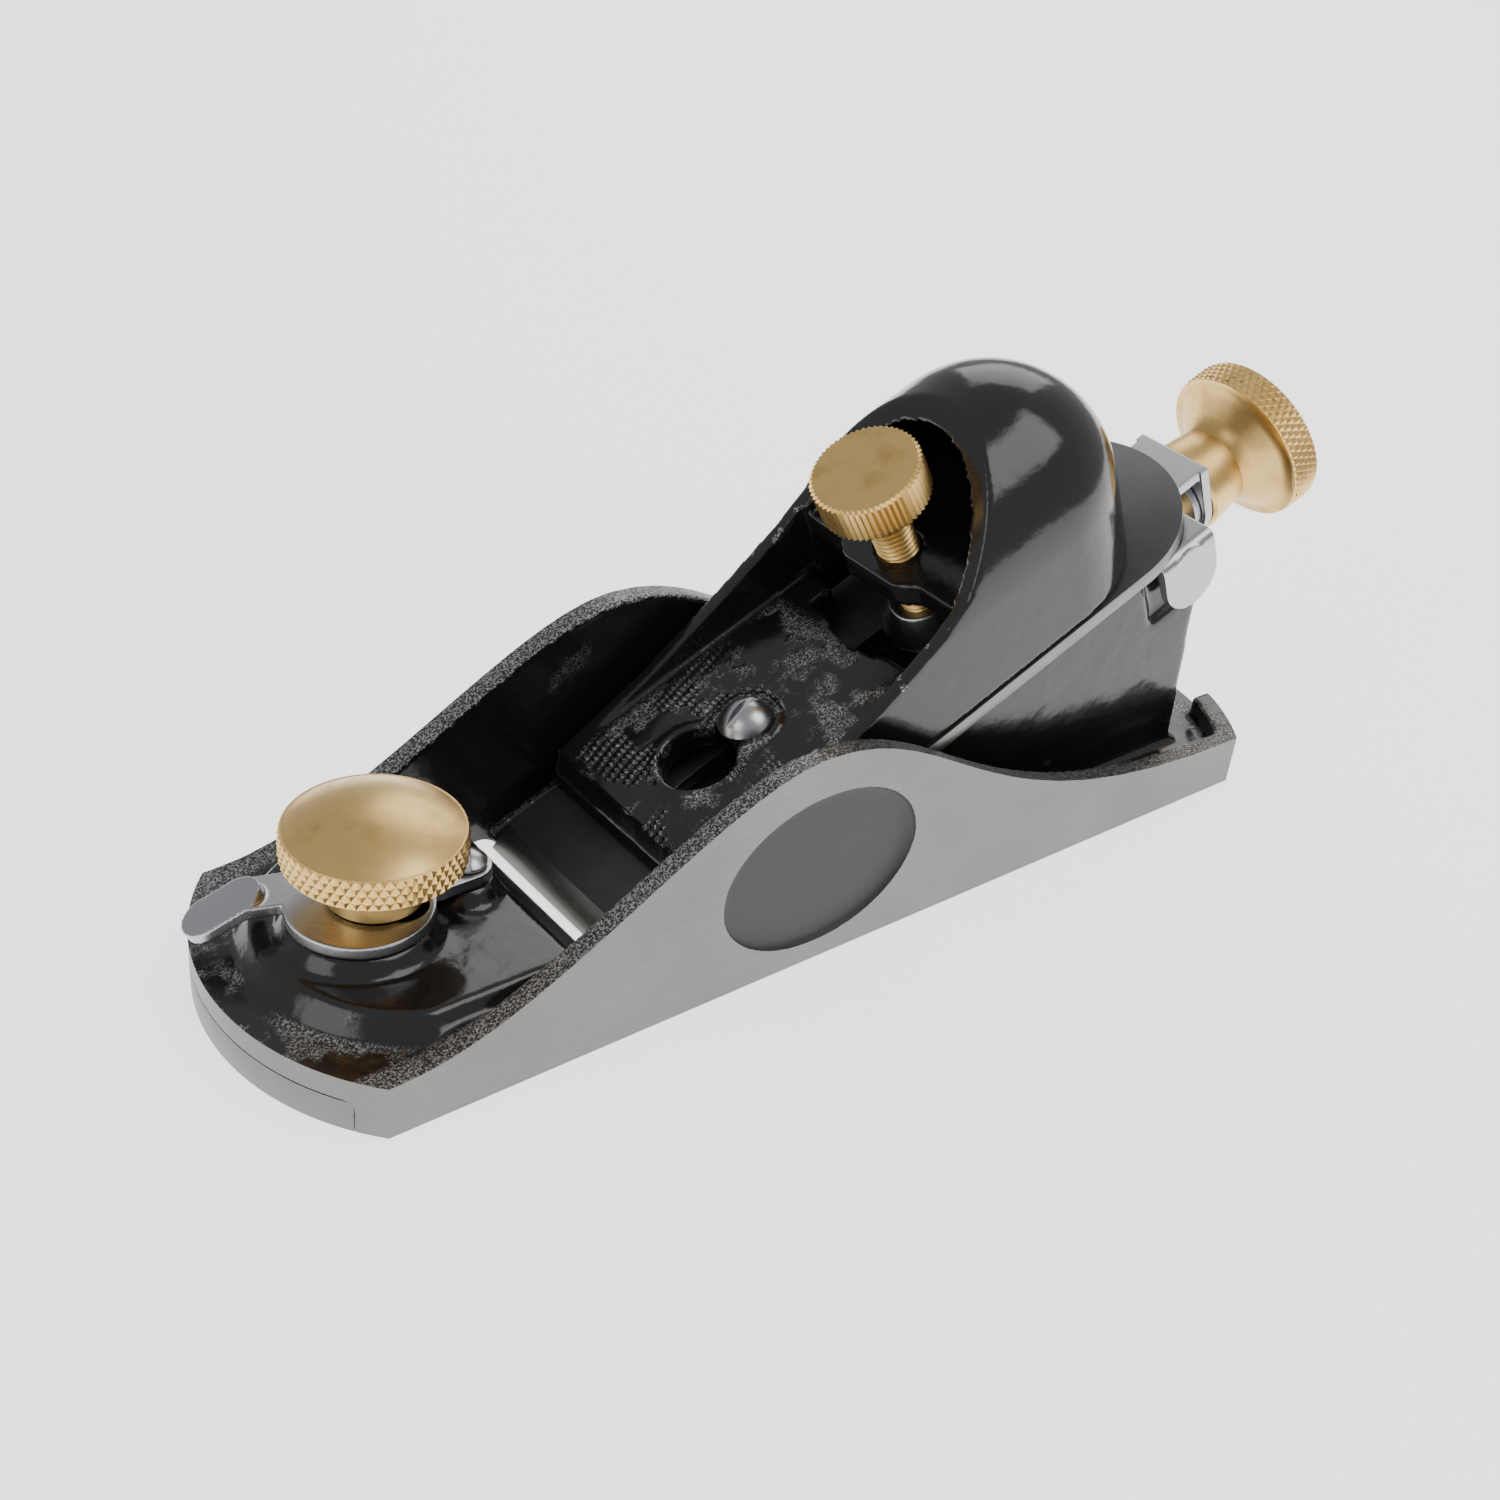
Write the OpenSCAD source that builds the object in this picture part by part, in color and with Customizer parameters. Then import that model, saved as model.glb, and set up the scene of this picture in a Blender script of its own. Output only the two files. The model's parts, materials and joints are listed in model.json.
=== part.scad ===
// Adjustable low block plane: cast body, sliding toe, bevel-up blade, lever cap with a
// domed palm rest, screw depth adjuster and lateral lever. Millimetres.
// +X points to the toe, +Y to the left cheek, +Z up. The origin is on the sole, at the
// middle of its length and width.

/* [Body casting] */
// Length of the sole
sole_len = 160; // [150:1:200]
// Width across the cheeks
body_w = 46.4; // [45:0.2:60]
// Height of the cheeks at the top of their hump
cheek_h = 31.4; // [26:0.2:40]
// Thickness of the cheeks
cheek_t = 3; // [2.4:0.1:3.6]
// Height of the nose and of the deck behind it
nose_h = 7.4; // [6.4:0.2:10]
// Height of the lip round the heel
heel_h = 7.6; // [6.4:0.2:12]
// Thickness of the sole behind the mouth
sole_t = 4; // [3:0.2:5]
// How far the nose bulges forward of its corners
nose_bulge = 9.5; // [6:0.5:14]
// How far the heel bulges back
heel_bulge = 8; // [6:0.5:14]

/* [Bed and blade] */
// Angle of the bed to the sole
bed_angle = 23.8; // [20:0.1:28]
// Where the bed plane meets the sole
edge_x = 32; // [28:0.5:33]
// Width of the blade
blade_w = 35; // [30:0.5:37]
// Thickness of the blade
blade_t = 2; // [1.6:0.1:3]
// Length of the blade
blade_len = 107.2; // [101:0.2:110]
// Length of the ground bevel
bevel_len = 3.5; // [2.6:0.1:6]
// How far the cutting edge stands back from the sole, along the bed
blade_back = 0.5; // [0.2:0.1:2]
// Width of the long slot in the blade
slot_w = 8.4; // [8:0.2:10]

/* [Sliding toe] */
// Thickness of the toe plate
toe_t = 4.2; // [3.4:0.1:5]
// Gap from the cutting edge to the toe plate at the sole
mouth_gap = 3.4; // [2.6:0.1:5]
// How far the toe moves each way from its middle
toe_travel = 1.5; // [0.5:0.1:1.8]
// Where the stud stands
stud_x = 59.2; // [57:0.2:62]
// Diameter of the stud
stud_d = 6; // [5:0.2:7]

/* [Front knob and mouth lever] */
// Diameter of the front knob
knob_d = 22.4; // [18:0.2:27]
// Width of the knurled band of the front knob
knob_band = 4; // [3.2:0.2:8]
// Diameter of the knob's collar
knob_collar_d = 12; // [10:0.2:14]
// Distance from the lever's pivot to the stud
lever_reach = 12.7; // [12:0.1:15.4]
// Diameter of the round part of the mouth lever
lever_ring_d = 18; // [17:0.2:22]
// How far the middle of that round part lies ahead of the stud
lever_ring_ahead = 2; // [0:0.1:2.4]
// Thickness of the mouth lever
lever_t = 1.6; // [1.2:0.1:2]
// How far the mouth lever swings each way, in degrees
lever_swing = 15; // [8:1:16]

/* [Lever cap] */
// Height of the cap's plate above the bed
cap_floor = 8.5; // [7.8:0.1:10.4]
// Thickness of the cap's plate
cap_plate_t = 3.6; // [3:0.1:4]
// Thickness of the cap's side rails
rail_t = 2; // [1.6:0.1:2.6]
// Wall thickness of the domed hood
hood_wall = 2.6; // [2:0.1:3.2]
// Place of the hood's centre along the bed
hood_t = 79.4; // [77:0.1:83]
// Height of the hood's centre above the bed
hood_n = 16.3; // [15:0.1:19]
// Diameter of the keyhole's round end
keyhole_d = 10.4; // [9:0.2:11]
// Place of the cap screw along the bed
cap_screw_t = 34.2; // [32.6:0.1:36.4]
// Diameter of the cap screw's shank
cap_screw_d = 5; // [4:0.2:5.6]
// Diameter of the cap screw's domed head
cap_head_d = 7.4; // [7.2:0.1:8.4]

/* [Clamp screw] */
// Diameter of the clamp screw's head
clamp_d = 15.2; // [12:0.2:17]
// Height of the clamp screw's head
clamp_head = 5.6; // [4:0.2:8]
// Diameter of the clamp screw's thread
clamp_thread_d = 5.8; // [5:0.1:7]
// Tilt of the clamp screw ahead of square to the bed
clamp_tilt = 7.7; // [4:0.1:9.5]
// Diameter of the clamp screw's foot
foot_d = 13; // [10:0.2:14]

/* [Depth adjuster] */
// Depth of the adjuster's axis below the bed
axis_drop = 9.6; // [9.2:0.1:10.4]
// Place of the front of the adjuster's collar along the bed
collar_at = 113.9; // [112.6:0.1:115.6]
// Diameter of the adjuster's wheel
wheel_d = 24.2; // [20:0.2:28]
// Width of the wheel's knurled band
wheel_band = 4.9; // [4:0.1:7]
// Length of the adjuster's collar
collar_len = 7.9; // [6:0.1:10]
// Diameter of the adjuster's collar
collar_d = 13.8; // [12:0.2:14]
// Diameter of the threaded spindle
spindle_d = 5; // [4:0.1:5.4]
// How far the blade can be drawn back
draw_back = 3; // [1:0.2:3.4]
// How far the blade can be advanced
advance = 0.7; // [0.5:0.1:0.8]

/* [Fits] */
// Radial clearance of turning fits
fit = 0.08; // [0.05:0.01:0.1]
// Gap between sliding faces
gap = 0.15; // [0.1:0.01:0.2]

/* [Hidden] */
$fn = 64;
eps = 0.01;
big = 300;

// Plan of the sole
half_len = sole_len / 2;
nose_r = arc_r(body_w, nose_bulge);
heel_r = arc_r(body_w, heel_bulge);
nose_x = half_len - nose_bulge;
heel_x = -half_len + heel_bulge;
inner_w = body_w - 2 * cheek_t;
hump_x = 0.065 * sole_len;
rest_deep = 0.8;

// Toe, deck and mouth
toe_w = inner_w - 2 * gap;
toe_rear = edge_x + mouth_gap;
mouth_rear = edge_x - 1.6;
deck_edge = toe_rear + 1;
deck_x = toe_rear + 7;
deck_bottom = toe_t + gap;
island_h = 3.2;
island_r = 21.7;
island_wall = 2.6;
island_x = half_len - 4.2 - island_r;
island_top = nose_h + island_h;
boss_top = island_top + 2.3;
boss_slope = 1.8;
lever_z = boss_top + gap;
lever_top = lever_z + lever_t;
pivot_x = stud_x - lever_reach;
ring_x = stud_x + lever_ring_ahead;
pivot_ear_d = 6.2;
knob_z = lever_top + gap;
band_z = knob_z + 6;
knob_top = band_z + knob_band;
knob_dome = 3;
stud_bottom = 1.2;
stud_top = knob_top - 1.5;
knob_collar_bore = stud_d / 2 + fit;

// Blade, in bed coordinates: along the bed and square to it
blade_n = gap;
blade_top = blade_n + blade_t;
blade_end = blade_back + blade_len;
blade_slot = [24.5, 64.5];
groove_w = 1.7;
groove_deep = 0.9;
groove_pitch = 3;
groove_first = 78.7;
groove_count = 6;
groove_span = 14;

// Lever cap
cap_w = blade_w;
cap_bottom = blade_top + gap;
cap_front = 12.2;
hood_r = cap_w / 2;
hood_rear = hood_t + hood_r;
arch_t = 61.3;
arch_n = 19.9;
arch_slope = 43;
window_t = 52.3;
shelf_n = 17.9;
shelf_t = 3.8;
shelf_from = 58.1;
shelf_to = 74.7;
keyhole_back = 8.2;
keyhole_slot_w = cap_screw_d + 2 * 0.3;

// Clamp screw: a point on its axis at the top of its head
clamp_top = [61.6, 33];
clamp_neck_d = clamp_thread_d + 1.4;
foot_h = 3.2;
foot_gap = 0.1;

// Depth adjuster, in bed coordinates
leg_t = 1.6;
leg_at = collar_at - gap - leg_t;
ring_t = 1.1;
ring_at = leg_at - gap - ring_t;
neck_d = spindle_d + 3;
slide_w = 12;
slide_t = 1.6;
lateral_t = 1.4;
lateral_n = blade_n - 0.35 - lateral_t;
slide_n = lateral_n - gap - slide_t;
channel_w = slide_w + 1.6;
channel_n = slide_n - gap;
slide_screw_t = 75.7;
slide_screw_d = 3.8;
slide_slot_w = slide_screw_d + 2 * 0.15;
slide_from = slide_screw_t - draw_back - slide_slot_w / 2 - 2;
channel_from = slide_from - advance - 0.6;
rivet_t = 92.7;
rivet_d = 3.6;
pin_t = groove_first + 2 * groove_pitch;
pin_d = 1.4;
lateral_from = pin_t - 3;
lateral_to = 107.2;
lateral_w = 9;
post_t = 102.7;
boss_half = 6.4;
spindle_from = 86.7;
spindle_to = collar_at + 8;
wing_from = 93.7;
wing_to = 103.7;
wing_y = 15.4;
flap_r = 1.6;
bed_half = 14.5;

// Radius of the arc that bulges by s over the chord w
function arc_r(w, s) = w * w / (8 * s) + s / 2;
// A point on the cubic curve through the control points p, at u from 0 to 1
function curve_at(p, u) = pow(1 - u, 3) * p[0] + 3 * pow(1 - u, 2) * u * p[1]
    + 3 * (1 - u) * u * u * p[2] + pow(u, 3) * p[3];
function curve(p, steps) = [for (i = [0 : steps]) curve_at(p, i / steps)];
// Lengths seen from the world: where a point of the bed lies along X and Z
function bed_x(t, n) = edge_x - t * cos(bed_angle) + n * sin(bed_angle);
function bed_z(t, n) = t * sin(bed_angle) + n * cos(bed_angle);

// ---------------------------------------------------------------- frames and shapes

// Bed coordinates: X runs up the bed, Z stands square to it, Y points to the right cheek
module on_bed() {
    translate([edge_x, 0, 0]) rotate([0, 0, 180]) rotate([0, -bed_angle, 0]) children();
}

// The clamp screw's own axis, with Z up along it and zero at the top of its head
module on_clamp_axis() {
    on_bed() translate([clamp_top[0], 0, clamp_top[1]]) rotate([0, -clamp_tilt, 0]) children();
}

// The adjuster's axis, with Z running to the rear and zero at the bed's start
module on_adjuster_axis() {
    on_bed() translate([0, 0, -axis_drop]) rotate([0, 90, 0]) children();
}

// A box given by its two corners
module box(a, b) {
    translate(a) cube(b - a);
}

// A slab with round ends along X
module slot(x0, x1, w, z0, z1) {
    box([x0, -w / 2, z0], [x1, w / 2, z1]);
    translate([x0, 0, z0]) cylinder(d = w, h = z1 - z0);
    translate([x1, 0, z0]) cylinder(d = w, h = z1 - z0);
}

// The plan of the sole, drawn in by inset, from z0 to z1
module plan(inset, z0, z1) {
    w = body_w - 2 * inset;
    difference() {
        box([-half_len + inset, -w / 2, z0], [half_len - inset, w / 2, z1]);
        bulge_corners(half_len - nose_r, nose_r - inset, 1, z0, z1);
        bulge_corners(-half_len + heel_r, heel_r - inset, -1, z0, z1);
    }
}

// What lies outside the arc round centre_x at one end of the plan
module bulge_corners(centre_x, r, side, z0, z1) {
    difference() {
        translate([centre_x + (side < 0 ? -2 * r : 0), -body_w, z0 - 1]) cube([2 * r, 2 * body_w, z1 - z0 + 2]);
        translate([centre_x, 0, z0 - 2]) cylinder(r = r, h = z1 - z0 + 4, $fn = 160);
    }
}

// A side view drawn in X and Z, as wide as w
module side_prism(points, w) {
    rotate([90, 0, 0]) linear_extrude(w, center = true) polygon(points);
}

// ---------------------------------------------------------------- body casting

// The sweep of the cheeks from the nose over the hump to the heel
module cheek_profile() {
    nose_end = nose_x - 1.2;
    heel_end = heel_x + 1.2;
    front = curve([[nose_end, nose_h], [nose_end - 0.124 * sole_len, nose_h],
                   [hump_x + 0.099 * sole_len, cheek_h], [hump_x, cheek_h]], 14);
    rear = curve([[hump_x, cheek_h], [hump_x - 0.1375 * sole_len, cheek_h],
                  [heel_end + 0.324 * sole_len, heel_h], [heel_end, heel_h]], 16);
    top = concat([for (i = [0 : len(front) - 2]) front[i]], rear);
    side_prism(concat([[-half_len - 1, 0], [half_len + 1, 0], [half_len + 1, nose_h]],
                      top, [[-half_len - 1, heel_h]]), body_w + 2);
}

// Raised island on the deck, with the boss that carries the mouth lever
module island() {
    half_w = inner_w / 2 - 0.1;
    intersection() {
        union() {
            translate([island_x, 0, nose_h - eps])
                cylinder(r1 = island_r, r2 = island_r - island_wall, h = island_h, $fn = 128);
            box([toe_rear, -half_w, nose_h - 1], [island_x, half_w, island_top]);
        }
        translate([toe_rear, 0, 0]) rotate([90, 0, 90]) linear_extrude(half_len - toe_rear)
            polygon([[-half_w, 0], [half_w, 0], [half_w, nose_h], [half_w - island_wall, island_top],
                     [island_wall - half_w, island_top], [-half_w, nose_h]]);
    }
    lever_pad(boss_top - island_top, boss_slope);
}

// Raised pad under the mouth lever, with sloping sides
module lever_pad(rise, slope) {
    for (round = [[ring_x, lever_ring_d / 2 - 0.3], [pivot_x, pivot_ear_d / 2]])
        translate([round[0], 0, island_top - 1])
            cylinder(r1 = round[1] + slope * (rise + 1) / rise, r2 = round[1], h = rise + 1);
}

// Sloping bed: as wide as the mouth in front, then narrower up to the post
module bed_wedge() {
    front_t = 22;
    post_x = bed_x(post_t, -axis_drop);
    side_prism([[mouth_rear, 1], [mouth_rear, bed_z((edge_x - mouth_rear) / cos(bed_angle), 0)],
                [bed_x(front_t, 0), bed_z(front_t, 0)], [bed_x(front_t, 0), 1]], inner_w + cheek_t);
    side_prism([[bed_x(front_t / 2, 0), 1], [bed_x(front_t / 2, 0), bed_z(front_t / 2, 0)],
                [bed_x(post_t, 0), bed_z(post_t, 0)], [post_x, bed_z(post_t, -axis_drop)],
                [post_x - 2, 1]], 2 * bed_half);
}

// Hollow under the bed, open to the rear below the spindle's boss
module bed_hollow() {
    roof = -axis_drop - boss_half;
    start_t = (sole_t - roof * cos(bed_angle)) / sin(bed_angle);
    end_t = post_t + 14;
    side_prism([[bed_x(start_t, roof), sole_t], [bed_x(end_t, roof), bed_z(end_t, roof)],
                [bed_x(end_t, roof), sole_t]], 2 * bed_half - 6);
}

// Shallow oval finger rests, one in each cheek
module finger_rests() {
    steps = 64;
    rest_len = 31.4;
    rest_high = 23;
    rest_x = hump_x - 1.4;
    rest_z = rest_high / 2 + 2.8;
    oval = [for (i = [0 : steps - 1])
            [rest_x + rest_len / 2 * cos(360 * i / steps), rest_z + rest_high / 2 * sin(360 * i / steps)]];
    difference() {
        side_prism(oval, body_w + 2);
        box([-half_len, -body_w / 2 + rest_deep, 0], [half_len, body_w / 2 - rest_deep, cheek_h]);
    }
}

module body() color([0.13, 0.13, 0.14]) difference() {
    union() {
        difference() {
            intersection() {
                plan(0, 0, cheek_h + 1);
                cheek_profile();
            }
            // between the cheeks, behind and over the deck
            intersection() {
                plan(cheek_t, sole_t, cheek_h + 2);
                box([-half_len - 1, -body_w, 0], [toe_rear, body_w, cheek_h + 3]);
            }
            box([toe_rear - 1, -inner_w / 2, nose_h], [half_len + 1, inner_w / 2, cheek_h + 2]);
        }
        bed_wedge();
        intersection() {
            island();
            plan(cheek_t, 0, cheek_h);
        }
    }
    // the toe plate's seat, open through the nose, and the mouth
    box([mouth_rear, -inner_w / 2, -1], [half_len + 1, inner_w / 2, deck_bottom]);
    side_prism([[toe_rear - 1, deck_bottom - 1], [deck_edge, deck_bottom - 1], [deck_edge, deck_bottom + 0.6],
                [deck_x, island_top + eps], [deck_x, island_top + 1], [toe_rear - 1, island_top + 1]], inner_w);
    // slot for the stud and thread for the lever's pivot
    slot(stud_x - toe_travel, stud_x + toe_travel, stud_d + 2 * gap, deck_bottom - 1, boss_top + 1);
    translate([pivot_x, 0, deck_bottom + 1]) cylinder(d = 3.6, h = boss_top);
    on_bed() {
        // thread for the cap screw
        translate([cap_screw_t, 0, -8.2]) cylinder(d = cap_screw_d, h = 12);
        // room for the blade over the sole, and for the lateral lever's wing
        box([0, -inner_w / 2, 0], [sole_t / sin(bed_angle) + 2, inner_w / 2, 4]);
        box([wing_from - advance - 0.8, -wing_y - 1, lateral_n - gap], [post_t + 12, 0, 12]);
        box([wing_from - advance - 0.8, -wing_y - 1, lateral_n - gap - 10], [post_t + 12, flap_r + 0.4 - wing_y, 12]);
        // channel for the depth slide
        box([channel_from, -channel_w / 2, channel_n], [post_t + 12, channel_w / 2, 12]);
        translate([slide_screw_t, 0, channel_n - 7]) cylinder(d = slide_screw_d, h = 9);
    }
    on_adjuster_axis() translate([0, 0, spindle_from]) cylinder(d = spindle_d, h = 40);
    bed_hollow();
    finger_rests();
}

// ---------------------------------------------------------------- toe, knob and mouth lever

module toe_plate() color([0.62, 0.62, 0.6]) difference() {
    intersection() {
        plan(0, 0, toe_t);
        box([toe_rear, -toe_w / 2, -1], [half_len + 1, toe_w / 2, toe_t + 1]);
    }
    translate([stud_x, 0, stud_bottom]) cylinder(d = stud_d, h = toe_t);
    // lead-in at the mouth
    translate([toe_rear, 0, toe_t]) rotate([0, 45, 0]) cube([1, toe_w + 2, 1], center = true);
}

module toe_stud() color([0.6, 0.6, 0.62])
    translate([stud_x, 0, stud_bottom]) cylinder(d = stud_d, h = stud_top - stud_bottom);

module front_knob() color([0.82, 0.66, 0.38]) translate([stud_x, 0, 0]) difference() {
    dome_r = knob_d * knob_d / (8 * knob_dome) + knob_dome / 2;
    union() {
        translate([0, 0, knob_z]) cylinder(d = knob_collar_d, h = band_z - knob_z + 1);
        translate([0, 0, band_z]) cylinder(d1 = knob_d - 1.6, d2 = knob_d, h = 0.8);
        translate([0, 0, band_z + 0.8]) cylinder(d = knob_d, h = knob_band - 0.8);
        intersection() {
            translate([0, 0, knob_top + knob_dome - dome_r]) sphere(r = dome_r, $fn = 128);
            translate([0, 0, knob_top - eps]) cylinder(d = knob_d, h = knob_dome + 1);
        }
    }
    translate([0, 0, knob_z - 1]) cylinder(r = knob_collar_bore, h = stud_top + 0.4 - knob_z + 1);
}

// The cam slot holds the stud at every angle of the lever as the toe slides
module cam_slot() {
    steps = 8;
    play = 0.3;
    for (i = [0 : steps]) {
        swing = lever_swing * (2 * i / steps - 1);
        shift = toe_travel * (2 * i / steps - 1);
        translate([pivot_x, 0, 0]) rotate([0, 0, -swing])
            translate([lever_reach + shift, 0, lever_z - 1])
                cylinder(d = stud_d + 2 * gap + play, h = lever_t + 2);
    }
}

module mouth_lever() color([0.75, 0.75, 0.76]) difference() {
    arm_w = 6.2;
    arm_turn = -14.7;
    arm_len = 13.9;
    tip_len = 4.3;
    tip_drop = 28;
    union() {
        translate([ring_x, 0, lever_z]) cylinder(d = lever_ring_d, h = lever_t);
        translate([pivot_x, 0, lever_z]) cylinder(d = pivot_ear_d, h = lever_t);
        box([pivot_x, -pivot_ear_d / 2, lever_z], [stud_x, pivot_ear_d / 2, lever_top]);
        translate([stud_x, -4.7, lever_z]) rotate([0, 0, arm_turn]) {
            box([0, -arm_w / 2, 0], [arm_len, arm_w / 2, lever_t]);
            translate([arm_len, 0, lever_t / 2]) {
                rotate([90, 0, 0]) cylinder(d = lever_t, h = arm_w, center = true);
                rotate([0, tip_drop, 0]) slot(0, tip_len, arm_w, -lever_t / 2, lever_t / 2);
            }
        }
    }
    cam_slot();
    translate([pivot_x, 0, lever_z - 1]) cylinder(r = 1.8 + fit, h = lever_t + 2);
}

module mouth_lever_screw() color([0.75, 0.75, 0.76]) translate([pivot_x, 0, 0]) difference() {
    head_d = 5;
    head_h = 1.7;
    union() {
        translate([0, 0, deck_bottom + 1]) cylinder(d = 3.6, h = lever_top + gap - deck_bottom);
        intersection() {
            translate([0, 0, lever_top + gap + head_h - 3.3]) sphere(r = 3.3);
            translate([0, 0, lever_top + gap]) cylinder(d = head_d, h = head_h + 1);
        }
    }
    translate([0, 0, lever_top + gap + 2]) cube([0.8, head_d + 1, 2.2], center = true);
}

// ---------------------------------------------------------------- blade

module blade() color([0.22, 0.22, 0.23]) on_bed() difference() {
    end_r = blade_w / 2;
    union() {
        box([blade_back, -blade_w / 2, blade_n], [blade_end - end_r, blade_w / 2, blade_top]);
        translate([blade_end - end_r, 0, blade_n]) cylinder(r = end_r, h = blade_t, $fn = 128);
    }
    // ground bevel on the upper face
    rotate([90, 0, 0]) linear_extrude(blade_w + 2, center = true)
        polygon([[blade_back - 1, blade_n], [blade_back, blade_n + 0.1],
                 [blade_back + bevel_len, blade_top + eps], [blade_back - 1, blade_top + eps]]);
    slot(blade_slot[0], blade_slot[1], slot_w, blade_n - 1, blade_top + 1);
    for (i = [0 : groove_count - 1])
        translate([groove_first + i * groove_pitch, 0, blade_n])
            cube([groove_w, groove_span, 2 * groove_deep], center = true);
}

// ---------------------------------------------------------------- lever cap

// Outline of the hood: straight sides under a tunnel, ending in a ball and a round skirt.
// The round shapes share one axis along the bed, so that they join smoothly.
module bullet(inset) {
    r = hood_r - inset;
    box([0, -r, 0], [hood_t, r, hood_n]);
    translate([0, 0, hood_n]) rotate([0, 90, 0]) cylinder(r = r, h = hood_t, $fn = 96);
    translate([hood_t, 0, hood_n]) sphere(r = r, $fn = 96);
    translate([hood_t, 0, 0]) cylinder(r = r, h = hood_n, $fn = 96);
}

// Side view of the cap: low rails in front, then the arch that leans back over the screw
module cap_profile() {
    reach = big;
    side_prism([[cap_front, cap_bottom], [cap_front + 0.5, cap_bottom + 2.4], [cap_front + 2.5, 7.7],
                [29.7, 10.2], [45.7, 14.3], [54.7, 17], [arch_t, arch_n],
                [arch_t + reach * cos(arch_slope), arch_n + reach * sin(arch_slope)],
                [reach, cap_bottom]], cap_w + 2);
}

module cap_keyhole() {
    slot(cap_screw_t - keyhole_back, cap_screw_t, keyhole_slot_w, 0, cap_floor + 4);
    translate([cap_screw_t - keyhole_back, 0, 0]) cylinder(d = keyhole_d, h = cap_floor + 4);
}

module lever_cap() color([0.1, 0.1, 0.11]) difference() {
    union() {
        on_bed() difference() {
            intersection() {
                bullet(0);
                cap_profile();
            }
            // above the plate, between the rails
            box([0, -cap_w / 2 + rail_t, cap_floor], [shelf_from + 2, cap_w / 2 - rail_t, big]);
            // under the plate
            box([cap_front + 3.6, -cap_w / 2 + rail_t, 0],
                [shelf_from + 2, cap_w / 2 - rail_t, cap_floor - cap_plate_t]);
            // sides stand clear of the blade behind the front edge
            box([cap_front + 3.6, -cap_w, 0], [hood_rear + 1, cap_w, cap_bottom + 0.4]);
            // space over the shelf
            intersection() {
                bullet(hood_wall);
                box([shelf_from - 4, -cap_w, shelf_n], [hood_t + 6, cap_w, big]);
            }
            // space under the shelf, open to the blade
            intersection() {
                bullet(hood_wall);
                box([shelf_from, -cap_w, 0], [hood_rear, cap_w, shelf_n - shelf_t]);
            }
            // window ahead of the shelf
            translate([window_t + 12.6, 0, 0]) cylinder(r = 12.6, h = shelf_n - shelf_t);
            box([shelf_from - 4, -10, 0], [shelf_from, 10, big]);
            cap_keyhole();
        }
        // boss round the clamp screw's thread
        on_bed() intersection() {
            translate([shelf_from, -cap_w / 2 + 1, shelf_n - shelf_t]) cube([shelf_to - shelf_from, cap_w - 2, shelf_t]);
            translate([shelf_from + 11, 0, 0]) cylinder(r = 12, h = big);
        }
    }
    on_clamp_axis() translate([0, 0, -big / 4]) cylinder(r = clamp_thread_d / 2 + fit, h = big / 4);
}

module lever_cap_screw() color([0.8, 0.8, 0.81]) on_bed() translate([cap_screw_t, 0, 0]) difference() {
    seat = cap_floor + gap;
    head_h = 2.9;
    union() {
        translate([0, 0, -8.2]) cylinder(d = cap_screw_d, h = seat + 8.2 + eps);
        intersection() {
            translate([0, 0, seat + head_h - 4.2]) sphere(r = 4.2);
            translate([0, 0, seat]) cylinder(d = cap_head_d, h = head_h + 1);
        }
    }
    translate([0, 0, seat + head_h]) cube([1.1, cap_head_d + 2, 2.6], center = true);
}

module clamp_screw() color([0.82, 0.66, 0.38]) on_clamp_axis() {
    tip = (clamp_top[1] - blade_top - foot_h - foot_gap) / cos(clamp_tilt) + 0.4;
    translate([0, 0, -clamp_head]) cylinder(d = clamp_d, h = clamp_head - 0.4);
    translate([0, 0, -0.4]) cylinder(d1 = clamp_d, d2 = clamp_d - 0.8, h = 0.4);
    translate([0, 0, -clamp_head - 2.4]) cylinder(d = clamp_neck_d, h = 2.4 + eps);
    translate([0, 0, -tip]) cylinder(d = clamp_thread_d, h = tip - clamp_head);
}

module clamp_foot() color([0.85, 0.85, 0.86]) difference() {
    down = (clamp_top[1] - blade_top - foot_gap) / cos(clamp_tilt);
    rise = foot_h + 2.2;
    intersection() {
        on_clamp_axis() translate([0, 0, -down - 1.5]) {
            cylinder(d = foot_d, h = 3);
            translate([0, 0, 3]) cylinder(d1 = foot_d, d2 = clamp_thread_d + 3, h = rise - 1.5);
        }
        on_bed() box([0, -cap_w, blade_top + foot_gap], [big, cap_w, big]);
    }
    on_clamp_axis() translate([0, 0, -down + foot_h - 0.5]) cylinder(r = clamp_thread_d / 2 + fit, h = 20);
}

// ---------------------------------------------------------------- depth adjuster

module adjuster_knob() color([0.8, 0.63, 0.35]) on_adjuster_axis() difference() {
    waist_d = collar_d - 1.4;
    cone_at = collar_at + collar_len;
    band_at = cone_at + 3.6;
    wheel_end = band_at + wheel_band;
    union() {
        translate([0, 0, ring_at]) cylinder(d = neck_d, h = collar_at - ring_at + 1);
        translate([0, 0, collar_at]) cylinder(d1 = collar_d, d2 = waist_d, h = collar_len);
        translate([0, 0, cone_at]) cylinder(d1 = waist_d, d2 = wheel_d, h = 3.6);
        translate([0, 0, band_at]) cylinder(d = wheel_d, h = wheel_band - 0.6);
        translate([0, 0, wheel_end - 0.6]) cylinder(d1 = wheel_d, d2 = wheel_d - 1.2, h = 0.6);
    }
    // threaded bore, and the dished face of the wheel
    translate([0, 0, ring_at - 1]) cylinder(r = spindle_d / 2 + fit, h = spindle_to + advance + 1 - ring_at + 1);
    translate([0, 0, wheel_end - 0.8]) cylinder(d = wheel_d - 7, h = 2);
}

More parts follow.
